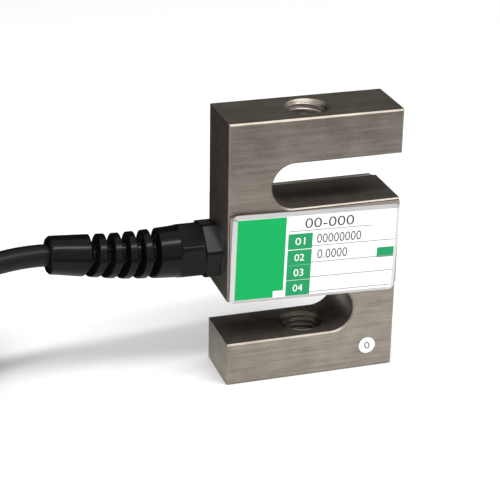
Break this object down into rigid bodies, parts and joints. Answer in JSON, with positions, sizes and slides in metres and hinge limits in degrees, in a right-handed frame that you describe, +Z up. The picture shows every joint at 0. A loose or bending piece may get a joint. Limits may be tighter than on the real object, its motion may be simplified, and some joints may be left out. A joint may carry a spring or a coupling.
{
  "type": "s type load cell",
  "caption": "Upright S-shaped force sensor with tapped arms, a labelled middle section and a screened cable that leaves through a grooved bend relief into a tied coil.",
  "frame": {"origin": "mouth of the lower tapped hole, at the centre of the block's bottom face", "axes": "+Z up along the load axis from the lower to the upper tapped hole, +X to the right of someone who faces the label, the cable leaves along -X, the labelled face looks along -Y"},
  "size_m": [0.2188, 0.0598, 0.0794],
  "materials": {
    "nickel_plated_steel": "sand-blasted and plated",
    "bonding_seal": "cured sealant",
    "cover_steel": "satin sheet",
    "plate_aluminium": "satin with bright bevels",
    "printed_film": "satin film",
    "washer_rubber": "moulded",
    "moulded_nylon": "moulded, half gloss",
    "cable_sheath": "extruded, matt",
    "tie_nylon": "moulded",
    "shrink_sleeve": "shrunk",
    "gauge_foil": "film backed",
    "circuit_laminate": "lacquered",
    "resistor_body": "lacquered",
    "red_insulation": "extruded",
    "black_insulation": "extruded",
    "green_insulation": "extruded",
    "white_insulation": "extruded",
    "clear_sleeve": "thin sleeve on a drain wire"
  },
  "bodies": {
    "root": {"load_element": "nickel_plated_steel", "front_seal": "bonding_seal", "rear_seal": "bonding_seal", "front_cover": "cover_steel", "rear_cover": "cover_steel", "label_plate": "plate_aluminium", "rear_plate": "plate_aluminium", "label_sheet": "printed_film", "inspection_dot": "printed_film", "gland_washer": "washer_rubber", "gland_seal": "washer_rubber", "gland_body": "moulded_nylon", "strain_relief_nut": "moulded_nylon", "cable_jacket": "cable_sheath", "cable_coil": "cable_sheath", "cable_tail": "cable_sheath", "coil_tie_near": "tie_nylon", "coil_tie_far": "tie_nylon", "end_sleeve": "shrink_sleeve", "strain_gauge_front_left": "gauge_foil", "strain_gauge_front_right": "gauge_foil", "strain_gauge_rear_left": "gauge_foil", "strain_gauge_rear_right": "gauge_foil", "terminal_board": "circuit_laminate", "trim_resistors": "resistor_body", "core_red": "red_insulation", "core_black": "black_insulation", "core_green": "green_insulation", "core_white": "white_insulation", "lead_red": "red_insulation", "lead_black": "black_insulation", "lead_green": "green_insulation", "lead_white": "white_insulation", "lead_shield": "clear_sleeve"}
  },
  "joints": []
}
